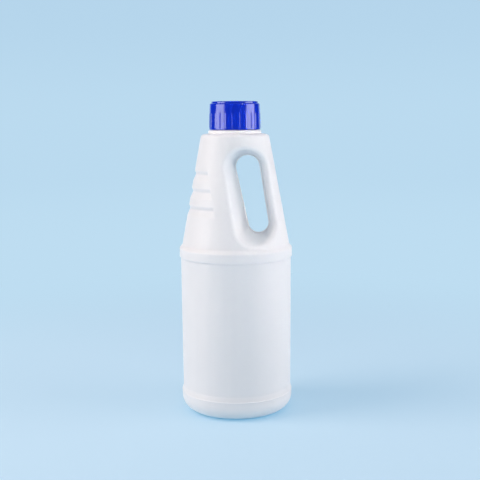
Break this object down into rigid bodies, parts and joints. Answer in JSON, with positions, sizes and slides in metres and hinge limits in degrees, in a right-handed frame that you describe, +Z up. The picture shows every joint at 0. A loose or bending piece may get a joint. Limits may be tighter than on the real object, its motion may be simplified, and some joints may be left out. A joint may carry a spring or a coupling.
{
  "type": "plastic bottle with handle and screw cap",
  "caption": "Round blow-moulded plastic bottle with a label panel, a handle moulded through its cone, finger grooves and a ribbed screw cap.",
  "frame": {"origin": "middle of the base, on the plane that the bottle stands on", "axes": "+Z up along the bottle's axis, +X towards the handle, XZ is the mould's parting plane"},
  "size_m": [0.092, 0.092, 0.2527],
  "materials": {
    "bottle_white": "satin blow-moulded polyethylene",
    "cap_blue": "glossy injection-moulded polypropylene",
    "liner_foam": "closed-cell foam sheet"
  },
  "bodies": {
    "bottle_body": {"bottle": "bottle_white"},
    "liner_body": {"cap_liner": "liner_foam"},
    "cap_body": {"cap": "cap_blue"}
  },
  "joints": [
    {"name": "cap_rise", "type": "slide", "parent": "bottle_body", "child": "liner_body", "axis": [0, 0, 1], "range_m": [0, 0.021]},
    {"name": "cap_turn", "type": "hinge", "parent": "liner_body", "child": "cap_body", "pos_m": [0, 0, 0.24], "axis": [0, 0, 1], "range_deg": [0, 1800]}
  ],
  "couplings": [
    {"joint": "cap_rise", "follows": "cap_turn", "m_per_rad": 0.00066845}
  ]
}
